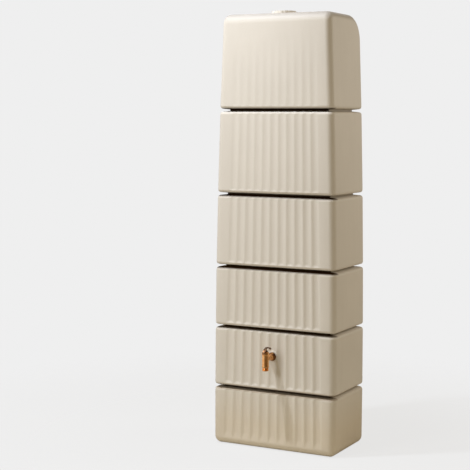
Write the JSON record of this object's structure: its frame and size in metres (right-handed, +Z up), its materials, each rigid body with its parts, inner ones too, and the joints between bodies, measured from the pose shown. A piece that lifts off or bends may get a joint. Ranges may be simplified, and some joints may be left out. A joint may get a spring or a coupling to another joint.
{
  "type": "slim water tank",
  "caption": "Tall slim fluted water tank in stacked tiers, narrowing upwards, with a screw cap on top and a brass lever tap near the foot.",
  "frame": {"origin": "centre of the base, on the ground", "axes": "+Z up, X along the tank's width, -Y towards the fluted front with the tap"},
  "size_m": [0.5578, 0.4116, 1.8105],
  "materials": {
    "tank_plastic": "fine grained matt, sand coloured",
    "cap_plastic": "matt, sand coloured",
    "insert_brass": "turned",
    "tap_brass": "satin, slightly warm",
    "lever_metal": "dark bronze",
    "stem_steel": "bright",
    "seal_rubber": "matt black",
    "seal_white": "smooth white seal plastic"
  },
  "bodies": {
    "tank": {"tank_body": "tank_plastic", "threaded_insert": "insert_brass", "wall_gasket": "seal_rubber", "wall_flange": "tap_brass", "lock_nut": "tap_brass", "tap_body": "tap_brass", "port_seal": "seal_white", "bonnet_nut": "tap_brass", "stop_pin": "stem_steel", "nozzle_seal": "seal_rubber", "outlet_nozzle": "tap_brass"},
    "valve": {"valve_plug": "tap_brass", "lower_plug_ring": "seal_rubber", "upper_plug_ring": "seal_rubber", "stem_ring": "seal_rubber", "thrust_washer": "seal_white", "lever_handle": "lever_metal", "handle_washer": "stem_steel", "handle_screw": "stem_steel"},
    "cap": {"filler_cap": "cap_plastic", "cap_gasket": "seal_rubber"}
  },
  "joints": [
    {"name": "valve_turn", "type": "hinge", "parent": "tank", "child": "valve", "pos_m": [0, -0.227, 0.396], "axis": [0, 0, 1], "range_deg": [-90, 0]},
    {"name": "cap_lift", "type": "slide", "parent": "tank", "child": "cap", "axis": [0, 0, 1], "range_m": [0, 0.3]}
  ]
}
